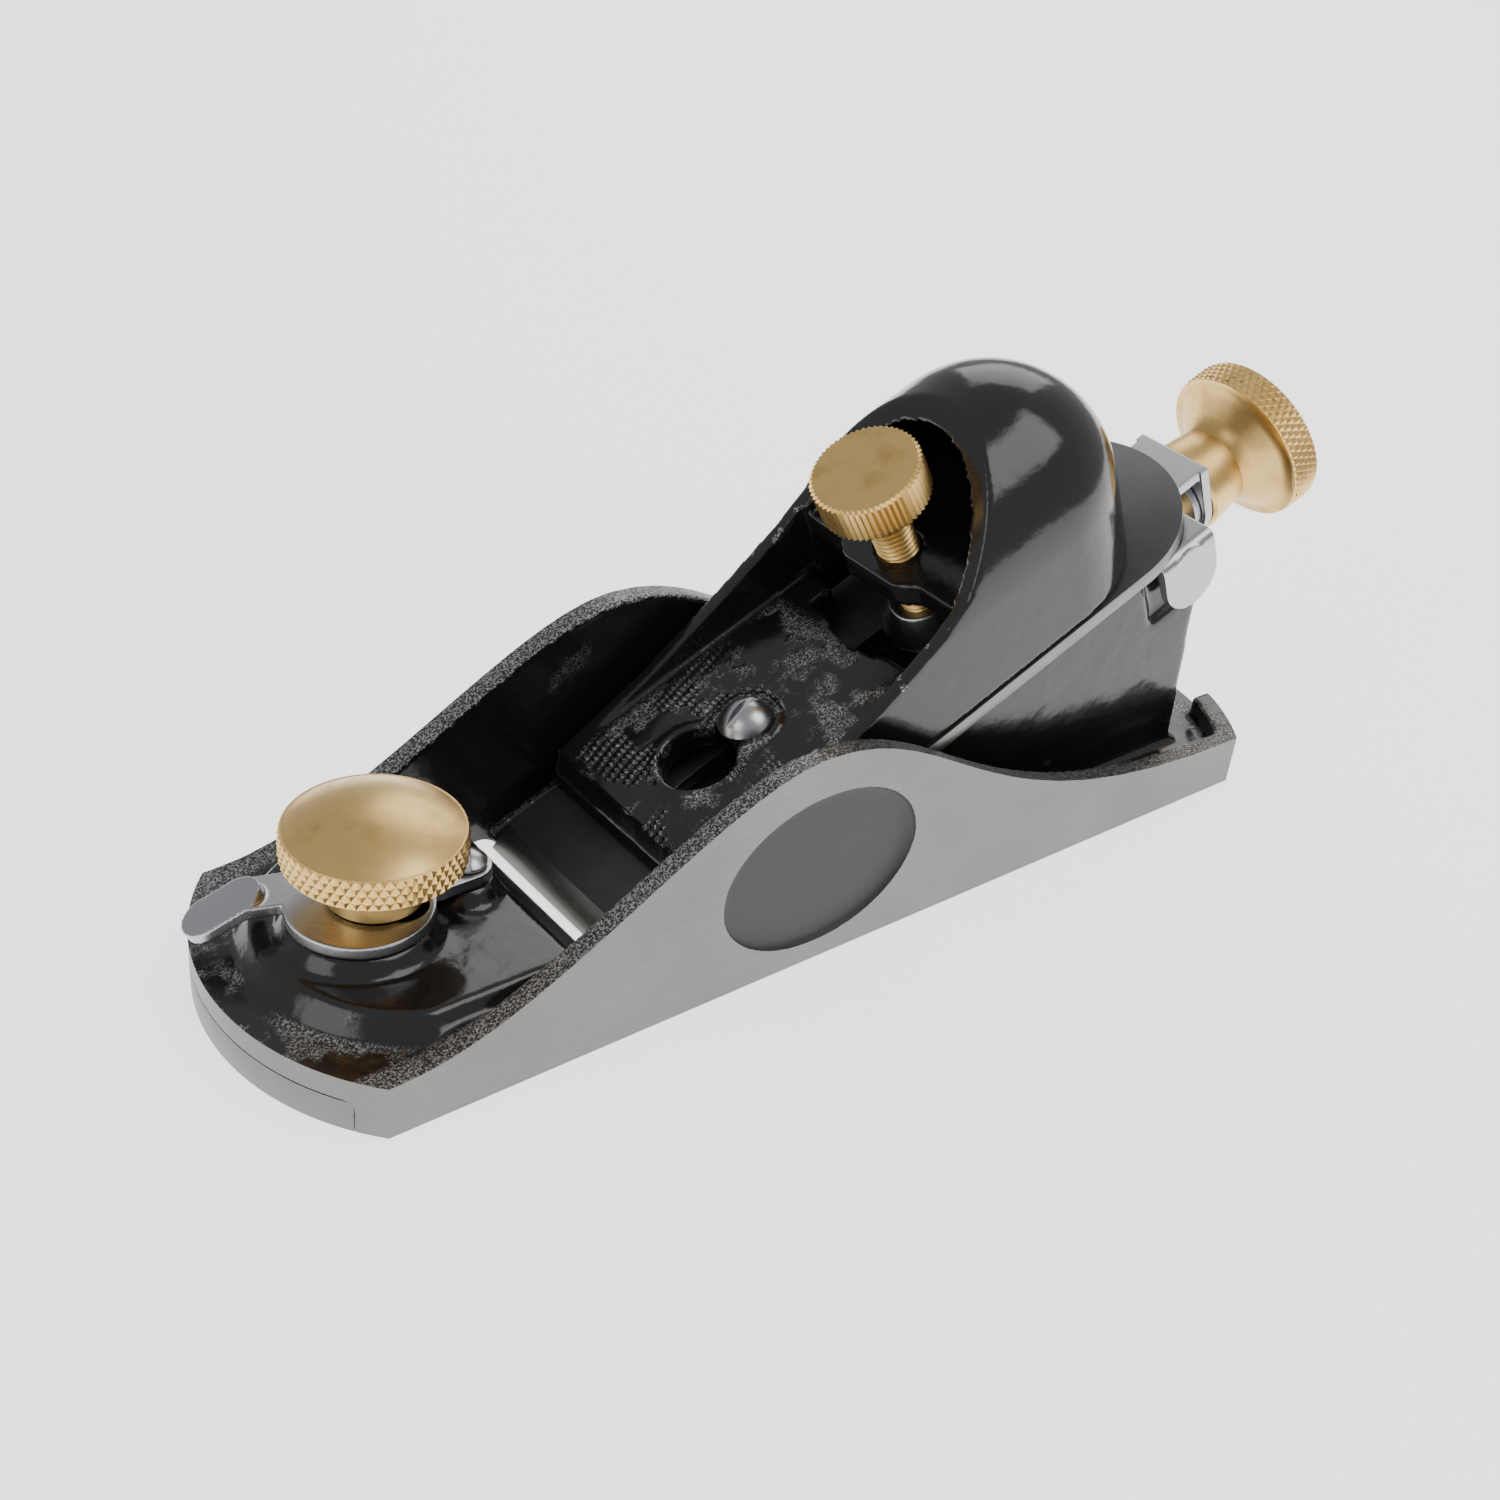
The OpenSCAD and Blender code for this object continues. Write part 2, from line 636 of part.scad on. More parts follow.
module knob_retaining_ring() color([0.6, 0.6, 0.62]) on_adjuster_axis()
    translate([0, 0, ring_at]) difference() {
        cylinder(d = neck_d + 3.4, h = ring_t);
        translate([0, 0, -1]) cylinder(d = neck_d, h = ring_t + 2);
    }

module adjuster_spindle() color([0.66, 0.66, 0.68]) on_adjuster_axis()
    translate([0, 0, spindle_from]) cylinder(d = spindle_d, h = spindle_to - spindle_from);

module depth_slide() color([0.7, 0.7, 0.72]) on_bed() difference() {
    leg_w = 13;
    union() {
        box([slide_from, -slide_w / 2, slide_n], [leg_at + leg_t, slide_w / 2, slide_n + slide_t]);
        box([leg_at, -leg_w / 2, -axis_drop], [leg_at + leg_t, leg_w / 2, slide_n + slide_t]);
        translate([leg_at, 0, -axis_drop]) rotate([0, 90, 0]) cylinder(d = leg_w, h = leg_t);
    }
    slot(slide_screw_t - draw_back, slide_screw_t + advance, slide_slot_w, slide_n - 1, slide_n + slide_t + 1);
    translate([rivet_t, 0, slide_n - 1]) cylinder(d = rivet_d, h = slide_t + 2);
    translate([leg_at - 1, 0, -axis_drop]) rotate([0, 90, 0]) cylinder(r = neck_d / 2 + fit, h = leg_t + 2);
}

module slide_screw() color([0.6, 0.6, 0.62]) on_bed() translate([slide_screw_t, 0, 0]) difference() {
    under_head = slide_n + slide_t + 0.1 + 0.4;
    union() {
        translate([0, 0, channel_n - 6]) cylinder(d = slide_screw_d, h = under_head - channel_n + 6 + eps);
        translate([0, 0, under_head]) cylinder(d = 6, h = 1.2);
    }
    translate([0, 0, under_head + 1.1]) cube([0.8, 8, 1.2], center = true);
}

module slide_washer() color([0.72, 0.72, 0.74]) on_bed()
    translate([slide_screw_t, 0, slide_n + slide_t + 0.1]) difference() {
        cylinder(d = 7, h = 0.4);
        translate([0, 0, -1]) cylinder(d = slide_screw_d, h = 3);
    }

module lateral_lever() color([0.78, 0.78, 0.79]) on_bed() difference() {
    flap_drop = 9;
    top_n = lateral_n + lateral_t;
    union() {
        slot(lateral_from + lateral_w / 2, lateral_to - lateral_w / 2, lateral_w, lateral_n, top_n);
        // wing to the left cheek's side, rolled over into a finger flap
        box([wing_from, -wing_y, lateral_n], [wing_to, 0, top_n]);
        translate([wing_from, -wing_y, lateral_n - flap_r + lateral_t]) rotate([0, 90, 0]) difference() {
            cylinder(r = flap_r, h = wing_to - wing_from);
            box([-eps, 0, -1], [3, 3, 20]);
        }
        translate([(wing_from + wing_to) / 2, -wing_y - flap_r + lateral_t, 0]) rotate([90, 0, 0]) {
            translate([0, lateral_n - flap_drop + 5, 0]) cylinder(d = wing_to - wing_from, h = lateral_t);
            box([-(wing_to - wing_from) / 2, lateral_n - flap_drop + 5, 0],
                [(wing_to - wing_from) / 2, lateral_n, lateral_t]);
        }
    }
    translate([rivet_t, 0, lateral_n - 1]) cylinder(r = rivet_d / 2 + fit, h = lateral_t + 2);
    translate([pin_t, 0, lateral_n - 1]) cylinder(d = pin_d, h = lateral_t + 2);
}

module lateral_rivet() color([0.66, 0.66, 0.68]) on_bed() translate([rivet_t, 0, slide_n])
    cylinder(d = rivet_d, h = slide_t + gap + lateral_t);

module drive_pin() color([0.66, 0.66, 0.68]) on_bed() translate([pin_t, 0, lateral_n])
    cylinder(d = pin_d, h = blade_n - lateral_n + groove_deep - 0.15);

body();
toe_plate();
toe_stud();
front_knob();
mouth_lever();
mouth_lever_screw();
blade();
lever_cap();
lever_cap_screw();
clamp_screw();
clamp_foot();
adjuster_knob();
knob_retaining_ring();
adjuster_spindle();
depth_slide();
slide_screw();
slide_washer();
lateral_lever();
lateral_rivet();
drive_pin();
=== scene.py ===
"""Low-angle block plane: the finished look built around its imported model."""

import json
import math

import bpy
from bpy.props import FloatProperty, FloatVectorProperty, IntProperty, PointerProperty
from mathutils import Matrix, Vector


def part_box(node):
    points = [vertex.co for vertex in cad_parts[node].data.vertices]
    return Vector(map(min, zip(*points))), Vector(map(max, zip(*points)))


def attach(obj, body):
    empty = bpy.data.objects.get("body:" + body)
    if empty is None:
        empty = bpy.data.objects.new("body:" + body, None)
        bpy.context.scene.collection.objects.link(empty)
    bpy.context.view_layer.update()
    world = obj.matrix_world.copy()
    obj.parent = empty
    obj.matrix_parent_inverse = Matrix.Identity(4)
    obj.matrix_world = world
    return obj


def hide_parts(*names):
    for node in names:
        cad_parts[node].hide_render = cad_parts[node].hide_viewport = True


bl_info = {
    "name": "Block Plane",
    "version": (1, 0, 0),
    "blender": (4, 5, 0),
    "location": "View3D > Sidebar > Block Plane",
    "description": "Models an adjustable block plane piece by piece around its frame",
    "category": "Add Mesh",
}

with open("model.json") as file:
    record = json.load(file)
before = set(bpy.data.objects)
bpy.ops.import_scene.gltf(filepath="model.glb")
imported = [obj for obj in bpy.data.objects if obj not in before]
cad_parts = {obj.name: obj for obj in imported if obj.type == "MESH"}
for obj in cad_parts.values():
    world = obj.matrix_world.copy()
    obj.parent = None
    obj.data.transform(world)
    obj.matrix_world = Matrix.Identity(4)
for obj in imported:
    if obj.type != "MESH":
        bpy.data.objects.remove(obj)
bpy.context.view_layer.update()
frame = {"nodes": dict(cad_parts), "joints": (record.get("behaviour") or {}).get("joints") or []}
JOINTS = {joint["name"]: joint for joint in frame["joints"]}
MM = 0.001

# The bed runs up and back from the cutting edge, which stands at BED_EDGE on the sole
BED_ALONG = Vector(JOINTS["cap_slide"]["axis"])
BED_SQUARE = Vector(JOINTS["lateral_swing"]["axis"])
BED_EDGE = 32 * MM
CAP_SCREW_T = 34.2 * MM
CAP_FLOOR = 8.5 * MM

# Bulge of the plan's ends, and the ovals of the finger rests
NOSE_BULGE = 9.5 * MM
HEEL_BULGE = 8 * MM
REST_CENTRE = (9 * MM, 14.3 * MM)
REST_RADII = (16.4 * MM, 12.2 * MM)
REST_DEPTH = 0.95 * MM
FLAT = 0.02 * MM

# ------------------------------------------------------------------ sizes and colours


class PlaneSizes(bpy.types.PropertyGroup):
    """Sizes that shape the finish of the pieces"""

    cast_voxel: FloatProperty(name="Casting grain", description="Cell size used to soften the castings",
                              default=0.55 * MM, unit="LENGTH")
    cap_voxel: FloatProperty(name="Cap grain", description="Cell size used to soften the lever cap",
                             default=0.38 * MM, unit="LENGTH")
    sheet_voxel: FloatProperty(name="Sheet grain", description="Cell size used to soften pressed steel",
                               default=0.17 * MM, unit="LENGTH")
    knob_teeth: IntProperty(name="Knob knurl", description="Diamonds round the front knob", default=54)
    wheel_teeth: IntProperty(name="Wheel knurl", description="Diamonds round the adjuster wheel", default=62)
    clamp_teeth: IntProperty(name="Clamp knurl", description="Ridges round the clamp screw", default=58)
    knurl_depth: FloatProperty(name="Knurl depth", description="Depth of the knurled grooves",
                               default=0.32 * MM, unit="LENGTH")
    thread_pitch: FloatProperty(name="Thread pitch", description="Spacing of the visible threads",
                                default=0.8 * MM, unit="LENGTH")


class PlaneColours(bpy.types.PropertyGroup):
    """Colours of the finishes"""

    japanning: FloatVectorProperty(name="Japanning", description="Gloss black coating of the castings",
                                   subtype="COLOR", default=(0.010, 0.010, 0.011))
    ground_iron: FloatVectorProperty(name="Ground iron", description="Ground faces of the sole and cheeks",
                                     subtype="COLOR", default=(0.19, 0.19, 0.185))
    brass: FloatVectorProperty(name="Brass", description="Turned brass of the knobs",
                               subtype="COLOR", default=(0.80, 0.54, 0.20))
    bright_steel: FloatVectorProperty(name="Bright steel", description="Pressed levers and screw heads",
                                      subtype="COLOR", default=(0.48, 0.48, 0.49))
    tool_steel: FloatVectorProperty(name="Tool steel", description="Dark faces of the blade",
                                    subtype="COLOR", default=(0.050, 0.050, 0.052))


# ------------------------------------------------------------------ shader building


class Wire:
    """A shader socket that can be used in Python arithmetic"""

    def __init__(self, graph, socket):
        self.graph = graph
        self.socket = socket

    def _math(self, operation, a, b=None):
        values = {0: a} if b is None else {0: a, 1: b}
        return self.graph.node("ShaderNodeMath", {"operation": operation}, values)

    def __add__(self, other):
        return self._math("ADD", self, other)

    def __radd__(self, other):
        return self._math("ADD", other, self)

    def __sub__(self, other):
        return self._math("SUBTRACT", self, other)

    def __rsub__(self, other):
        return self._math("SUBTRACT", other, self)

    def __mul__(self, other):
        return self._math("MULTIPLY", self, other)

    def __rmul__(self, other):
        return self._math("MULTIPLY", other, self)

    def __lt__(self, other):
        return self._math("LESS_THAN", self, other)

    def sine(self):
        return self._math("SINE", self)

    def size(self):
        return self._math("ABSOLUTE", self)

    def smaller(self, other):
        return self._math("MINIMUM", self, other)

    def larger(self, other):
        return self._math("MAXIMUM", self, other)

    def ramp(self, low, high):
        """0 below low, 1 above high, with a soft step between"""
        settings = {"interpolation_type": "SMOOTHSTEP"}
        return self.graph.node("ShaderNodeMapRange", settings, {"Value": self, "From Min": low, "From Max": high})


class Graph:
    """A material under construction"""

    def __init__(self, name):
        self.material = bpy.data.materials.new(name)
        self.material.use_nodes = True
        self.tree = self.material.node_tree
        self.tree.nodes.clear()
        self.coords = self.node("ShaderNodeTexCoord", out="Object")

    def node(self, kind, settings=None, inputs=None, out=0):
        """Adds one node, with its settings first and then its values or links"""
        made = self.tree.nodes.new(kind)
        for key, value in (settings or {}).items():
            setattr(made, key, value)
        for key, value in (inputs or {}).items():
            if isinstance(value, Wire):
                self.tree.links.new(value.socket, made.inputs[key])
            else:
                made.inputs[key].default_value = value
        return None if out is None else Wire(self, made.outputs[out])

    def split(self, vector):
        """X, Y and Z of a vector, in millimetres"""
        scaled = self.node("ShaderNodeVectorMath", {"operation": "SCALE"}, {0: vector, "Scale": 1 / MM})
        made = self.tree.nodes.new("ShaderNodeSeparateXYZ")
        self.tree.links.new(scaled.socket, made.inputs[0])
        return [Wire(self, made.outputs[i]) for i in range(3)]

    def noise(self, per_mm, detail=3.0, rough=0.55, vector=None):
        """Noise with so many features to the millimetre"""
        return self.node("ShaderNodeTexNoise", None, {"Vector": vector or self.coords, "Scale": per_mm / MM,
                                                       "Detail": detail, "Roughness": rough})

    def stretched(self, scale, turn=(0, 0, 0)):
        """Object coordinates turned and then scaled, for grain that runs one way"""
        return self.node("ShaderNodeMapping", None, {"Vector": self.coords, "Scale": scale, "Rotation": turn})

    def mix(self, factor, a, b):
        """Blend of two colours"""
        return self.node("ShaderNodeMix", {"data_type": "RGBA"}, {"Factor": factor, 6: rgba(a), 7: rgba(b)}, 2)

    def bump(self, height, distance, strength=1.0, normal=None):
        """Bump from a height, over so many millimetres"""
        inputs = {"Height": height, "Distance": distance * MM, "Strength": strength}
        if normal:
            inputs["Normal"] = normal
        return self.node("ShaderNodeBump", None, inputs)

    def normal(self):
        """Surface normal, as X, Y and Z"""
        made = self.node("ShaderNodeNewGeometry", out="Normal")
        split = self.tree.nodes.new("ShaderNodeSeparateXYZ")
        self.tree.links.new(made.socket, split.inputs[0])
        return [Wire(self, split.outputs[i]) for i in range(3)]

    def surface(self, **inputs):
        """Ends the material in a Principled shader"""
        names = {key.replace("_", " ").title().replace("Ior", "IOR"): value for key, value in inputs.items()}
        values = {key: rgba(value) if "Color" in key else value for key, value in names.items()}
        shader = self.node("ShaderNodeBsdfPrincipled", None, values)
        self.node("ShaderNodeOutputMaterial", None, {"Surface": shader}, None)
        return self.material


def rgba(colour):
    """A colour with its alpha, or a wire as it is"""
    if isinstance(colour, Wire):
        return colour
    return (*colour[:3], 1.0)


def finish(name):
    """A finish by name, made the first time it is asked for"""
    label = "finish_" + name
    if label not in bpy.data.materials:
        FINISHES[name](Graph(label), bpy.context.scene.plane_colours)
    return bpy.data.materials[label]


def coated(g, colours, rough_and_glint, height, wave=1.0):
    """Gloss black coating, rough where the mask says, with painted glints there: light grey metallic specks mixed
    into the black
    """
    grain = g.noise(2.6, 3.0, 0.6)
    flow = g.noise(0.22, 2.0, 0.5)
    speck = g.noise(3.4, 2.0, 0.7).ramp(0.47, 0.60)
    painted_glint = (rough_and_glint * speck).smaller(1.0)
    # painted glint: the specks take a light grey colour so the rough places look as if they catch the light
    colour = g.mix(painted_glint, colours.japanning, (0.42, 0.42, 0.41))
    roughness = 0.10 + grain * 0.06 + rough_and_glint * 0.22
    relief = flow * wave + grain * 0.08 + rough_and_glint * grain * 0.7 + height
    return g.surface(base_color=colour, roughness=roughness, metallic=painted_glint * 0.7,
                     specular_ior_level=0.55, normal=g.bump(relief, 0.30, 0.5))


def body_finish(g, colours):
    """Coating of the body, rough on the rims of the cheeks, the ledge and the heel, with painted glints on them and
    painted highlights along its sharp edges
    """
    x, y, z = g.split(g.coords)
    up = g.normal()[2]
    # the rims, ledge, heel and scattered patches are rough; the light grey specks they get are painted glints
    rim = y.size().ramp(19.6, 20.3) * up.ramp(0.25, 0.55)
    ledge = x.ramp(63, 71) * up.ramp(0.75, 0.95) * g.noise(0.16, 3.0, 0.6).ramp(0.44, 0.58) * (z < 8.2)
    heel = (0 - x).ramp(70, 73) * up.ramp(0.3, 0.7) * g.noise(0.2, 3.0, 0.6).ramp(0.5, 0.6)
    # painted highlight: sharp convex edges, found by pointiness, get light grey specks
    edge = g.node("ShaderNodeNewGeometry", out="Pointiness").ramp(0.535, 0.59)
    patch = g.noise(0.09, 3.0, 0.6).ramp(0.64, 0.72) * 0.25
    rough_and_glint = (rim * 0.85).larger(ledge * 0.8).larger(heel * 0.7).larger(edge * 0.8).larger(patch)
    return coated(g, colours, rough_and_glint, 0.0)


def cap_finish(g, colours):
    """Coating of the lever cap, with half-filled cross-hatching round the keyhole and painted highlights along its
    sharp edges
    """
    x, y, z = g.split(g.coords)
    cos, sin, edge_x = -BED_ALONG[0], BED_ALONG[2], BED_EDGE / MM
    t = (edge_x - x) * cos + z * sin
    n = (x - edge_x) * sin + z * cos
    plate = n.ramp(7.0, 7.8) * (1.0 - n.ramp(9.2, 9.8)) * (1.0 - t.ramp(50, 53)) * (1.0 - y.size().ramp(13.5, 15))
    lines = math.tau / 1.25
    rows = ((t * 0.87 + y * 0.5) * lines).sine() * ((t * 0.87 - y * 0.5) * lines * 0.8).sine()
    hatch_zone = g.noise(0.10, 2.0, 0.5).ramp(0.46, 0.54) * plate * (1.0 - t.ramp(36, 42))
    rough_zone = g.noise(0.13, 3.0, 0.6).ramp(0.50, 0.60) * plate
    # painted highlight: the cap's sharp edges, found by pointiness, get light grey specks
    edge = g.node("ShaderNodeNewGeometry", out="Pointiness").ramp(0.54, 0.60) * (1.0 - t.ramp(60, 66))
    rough_and_glint = (edge * 0.9).larger(rough_zone * 0.75).larger(hatch_zone * rows.ramp(0.1, 0.5))
    return coated(g, colours, rough_and_glint, hatch_zone * rows * 0.9 + rough_zone * g.noise(0.9, 3.0, 0.6) * 1.2, 0.6)


def ground_finish(g, colours):
    """Surface-ground iron with fine scratches along the plane"""
    lines = g.noise(1.0, 4.0, 0.7, g.stretched((0.05, 3.0, 9.0)))
    cross = g.noise(1.0, 3.0, 0.6, g.stretched((4.0, 4.0, 4.0)))
    cloud = g.noise(0.05, 3.0, 0.6)
    tone = (lines * 0.5 + cross * 0.25 + cloud * 0.35).ramp(0.30, 0.80)
    dark = tuple(0.78 * c for c in colours.ground_iron)
    light = tuple(min(1.0, 1.22 * c) for c in colours.ground_iron)
    return g.surface(base_color=g.mix(tone, dark, light), roughness=0.34 + lines * 0.14, metallic=0.75,
                     normal=g.bump(lines * 0.8 + cross * 0.4, 0.02, 0.5))


def rest_finish(g, colours):
    """Satin dark grey of the finger rests"""
    grain = g.noise(3.0, 3.0, 0.6)
    return g.surface(base_color=g.mix(grain, (0.016, 0.016, 0.017), (0.026, 0.026, 0.027)),
                     roughness=0.5 + grain * 0.1, metallic=0.0, normal=g.bump(grain, 0.03, 0.5))


def brass_finish(g, colours):
    """Turned brass with a little tarnish in cloudy patches, and painted shade darkening its hollows"""
    cloud = g.noise(0.18, 4.0, 0.6)
    fine = g.noise(5.0, 3.0, 0.6)
    edge = g.node("ShaderNodeNewGeometry", out="Pointiness")
    # painted shade: concave places, found by pointiness, are darkened towards a dull brown as if in shadow
    painted_hollow_shade = 1.0 - edge.ramp(0.42, 0.52)
    tarnish_and_shade = (cloud.ramp(0.45, 0.75) * 0.45 + painted_hollow_shade * 0.85).smaller(1.0)
    # one dull brown serves for the tarnish and for the painted shade
    tarnish_and_shade_colour = tuple(c * s for c, s in zip(colours.brass, (0.50, 0.40, 0.30)))
    colour = g.mix(tarnish_and_shade, colours.brass, tarnish_and_shade_colour)
    return g.surface(base_color=colour, roughness=0.24 + cloud * 0.16 + fine * 0.05, metallic=1.0,
                     normal=g.bump(fine, 0.012, 0.5))


def bright_finish(g, colours):
    """Bright pressed steel with faint brushing"""
    lines = g.noise(1.0, 3.0, 0.6, g.stretched((0.3, 6.0, 6.0)))
    cloud = g.noise(0.15, 3.0, 0.6)
    return g.surface(base_color=g.mix(cloud, tuple(0.85 * c for c in colours.bright_steel), colours.bright_steel),
                     roughness=0.20 + lines * 0.12 + cloud * 0.06, metallic=1.0,
                     normal=g.bump(lines, 0.01, 0.5))


def steel_finish(g, colours):
    """Plain oiled steel of the inner pieces"""
    cloud = g.noise(0.3, 4.0, 0.6)
    fine = g.noise(4.0, 3.0, 0.6)
    return g.surface(base_color=g.mix(cloud, (0.36, 0.36, 0.37), (0.55, 0.55, 0.56)),
                     roughness=0.32 + cloud * 0.12, metallic=1.0, normal=g.bump(fine, 0.012, 0.5))


def blade_finish(g, colours):
    """Dark oxide on the faces"""
    cloud = g.noise(0.25, 4.0, 0.65)
    fine = g.noise(4.0, 4.0, 0.65)
    colour = g.mix(cloud * 0.7 + fine * 0.3, tuple(0.7 * c for c in colours.tool_steel),
                   tuple(1.9 * c for c in colours.tool_steel))
    return g.surface(base_color=colour, roughness=0.34 + fine * 0.16, metallic=0.55,
                     normal=g.bump(fine * 0.6 + cloud * 0.4, 0.03, 0.5))


def honed_finish(g, colours):
    """Freshly ground steel of the bevel and the blade's edges"""
    lines = g.noise(1.0, 4.0, 0.7, g.stretched((2.0, 0.15, 2.0)))
    cloud = g.noise(0.3, 3.0, 0.6)
    return g.surface(base_color=g.mix(lines * 0.6 + cloud * 0.4, (0.15, 0.145, 0.135), (0.30, 0.29, 0.275)),
                     roughness=0.30 + lines * 0.18, metallic=1.0, normal=g.bump(lines, 0.02, 0.5))


FINISHES = {
    "body_japanning": body_finish,
    "cap_japanning": cap_finish,
    "ground_iron": ground_finish,
    "finger_rest": rest_finish,
    "brass": brass_finish,
    "bright_steel": bright_finish,
    "plain_steel": steel_finish,
    "blade_oxide": blade_finish,
    "honed_steel": honed_finish,
}

# ------------------------------------------------------------------ modelling helpers


def clear_selection():
    """Leaves nothing selected and no mesh in edit mode"""
    if bpy.context.mode != "OBJECT":
        bpy.ops.object.mode_set(mode="OBJECT")
    bpy.ops.object.select_all(action="DESELECT")


def activate(piece):
    """Makes one object the only one selected"""
    clear_selection()
    piece.select_set(True)
    bpy.context.view_layer.objects.active = piece


def copy_of(node, name):
    """A copy of a CAD node's mesh as a piece of its own, with its triangles merged"""
    source = frame["nodes"][node]
    piece = bpy.data.objects.new(name, source.data.copy())
    piece.data.materials.clear()
    bpy.context.collection.objects.link(piece)
    activate(piece)
    bpy.ops.object.mode_set(mode="EDIT")
    bpy.ops.mesh.select_all(action="SELECT")
    bpy.ops.mesh.remove_doubles(threshold=0.002 * MM)
    bpy.ops.object.mode_set(mode="OBJECT")
    return piece


def apply_modifier(piece, kind, **settings):
    """Adds a modifier, sets it and applies it"""
    activate(piece)
    modifier = piece.modifiers.new(kind.title(), kind)
    for key, value in settings.items():
        setattr(modifier, key, value)
    bpy.ops.object.modifier_apply(modifier=modifier.name)


def smooth_shade(piece, degrees=35):
    activate(piece)
    bpy.ops.object.shade_smooth_by_angle(angle=math.radians(degrees))


def soften(piece, cell, rounds):
    """Rounds a piece's edges as casting or tumbling does"""
    apply_modifier(piece, "REMESH", mode="VOXEL", voxel_size=cell)
    apply_modifier(piece, "SMOOTH", factor=0.5, iterations=rounds)
    activate(piece)
    bpy.ops.object.shade_smooth()


def bevel_edges(piece, width, segments=2, degrees=40):
    """Breaks sharp edges"""
    apply_modifier(piece, "BEVEL", width=width, segments=segments, limit_method="ANGLE",
                   angle_limit=math.radians(degrees), harden_normals=False)


def paint(piece, *names):
    """Gives a piece its finishes, one slot for each"""
    piece.data.materials.clear()
    for name in names:
        piece.data.materials.append(finish(name))


def paint_faces(piece, index, chosen):
    """Gives the faces that chosen(centre, normal) picks the finish in one slot"""
    for face in piece.data.polygons:
        if chosen(face.center, face.normal):
            face.material_index = index


def settle(piece, node, body):
    """Hides the node that a finished piece stands in for, and ties the piece to its body"""
    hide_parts(node)
    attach(piece, body)


def frame_at(origin, z_axis, x_hint=(1, 0, 0)):
    """The matrix of a place whose Z runs along z_axis"""
    z = Vector(z_axis).normalized()
    y = z.cross(Vector(x_hint)).normalized()
    x = y.cross(z)
    turn = Matrix((x, y, z)).transposed().to_4x4()
    return Matrix.Translation(Vector(origin)) @ turn


def place(piece, matrix):
    """Moves a piece modelled at the origin to its place, in its mesh"""
    piece.matrix_world = matrix
    activate(piece)
    bpy.ops.object.transform_apply(location=True, rotation=True, scale=True)


def joint_frame(name):
    """Place and direction of a joint's axis"""
    joint = JOINTS[name]
    return frame_at(joint["pos_m"], joint["axis"])


def turned(name, profile, segments=96, dent=0.0, twist=0.0):
    """A turned piece: a ring drawn up through the radii and heights of its profile.
    With a dent every other point of the ring is pressed in, and twist turns each step."""
    clear_selection()
    (first_r, first_z), *rest = profile
    bpy.ops.mesh.primitive_circle_add(vertices=segments, radius=first_r, fill_type="NGON",
                                      location=(0, 0, first_z))
    piece = bpy.context.object
    piece.name = name
    bpy.ops.object.transform_apply(location=True, rotation=False, scale=False)
    if dent:
        bpy.ops.object.mode_set(mode="EDIT")
        bpy.ops.mesh.select_mode(type="VERT")
        bpy.ops.mesh.select_all(action="DESELECT")
        bpy.ops.object.mode_set(mode="OBJECT")
        for i, vertex in enumerate(piece.data.vertices):
            vertex.select = i % 2 == 0
        bpy.ops.object.mode_set(mode="EDIT")
        ratio = (first_r - dent) / first_r
        bpy.ops.transform.resize(value=(ratio, ratio, 1), center_override=(0, 0, first_z))
        bpy.ops.mesh.select_all(action="SELECT")
    else:
        bpy.ops.object.mode_set(mode="EDIT")
        bpy.ops.mesh.select_all(action="SELECT")
    r, z = first_r, first_z
    for next_r, next_z in rest:
        bpy.ops.mesh.extrude_region_move(TRANSFORM_OT_translate={"value": (0, 0, next_z - z)})
        if abs(next_r - r) > 1e-9:
            bpy.ops.transform.resize(value=(next_r / r, next_r / r, 1), center_override=(0, 0, next_z))
        if twist:
            bpy.ops.transform.rotate(value=twist, orient_axis="Z", center_override=(0, 0, next_z))
        r, z = next_r, next_z
    bpy.ops.mesh.select_all(action="SELECT")
    bpy.ops.mesh.normals_make_consistent(inside=False)
    bpy.ops.object.mode_set(mode="OBJECT")
    return piece


def boolean(piece, tool, operation):
    """Cuts, joins or crosses a piece with a tool, which is used up"""
    apply_modifier(piece, "BOOLEAN", object=tool, operation=operation, solver="MANIFOLD")
    bpy.data.objects.remove(tool, do_unlink=True)
    return piece


def straight_knurl(name, radius, low, high, teeth, dent):
    """A band with straight ridges, chamfered at both rims"""
    lip = 0.35 * MM
    return turned(name, [(radius - lip, low), (radius, low + lip), (radius, high - lip), (radius - lip, high)],
                  2 * teeth, dent)


def diamond_knurl(name, radius, low, high, teeth, dent):
    """A band cut by crossed spirals, which leave rows of diamonds"""
    lip = 0.35 * MM
    steps = 14
    heights = [low + (high - low) * i / steps for i in range(steps + 1)]
    rise = (high - low) / steps
    turn = rise * math.tan(math.radians(32)) / radius
    bands = []
    for side in (1, -1):
        profile = [(radius, z) for z in heights]
        bands.append(turned(name, profile, 2 * teeth, dent, side * turn))
    band = boolean(bands[0], bands[1], "INTERSECT")
    rim = turned("rim", [(radius - lip, low - 0.01 * MM), (radius + 0.01 * MM, low + lip),
                         (radius + 0.01 * MM, high - lip), (radius - lip, high + 0.01 * MM)], 96)
    return boolean(band, rim, "INTERSECT")


def dome(radius, rise, z, steps=8, tip=0.02):
    """Profile points of a shallow dome that starts at height z"""
    ball = (radius * radius + rise * rise) / (2 * rise)
    points = []
    for i in range(1, steps + 1):
        r = max(radius * (1 - i / steps), radius * tip)
        points.append((r, z + rise - ball + math.sqrt(ball * ball - r * r)))
    return points


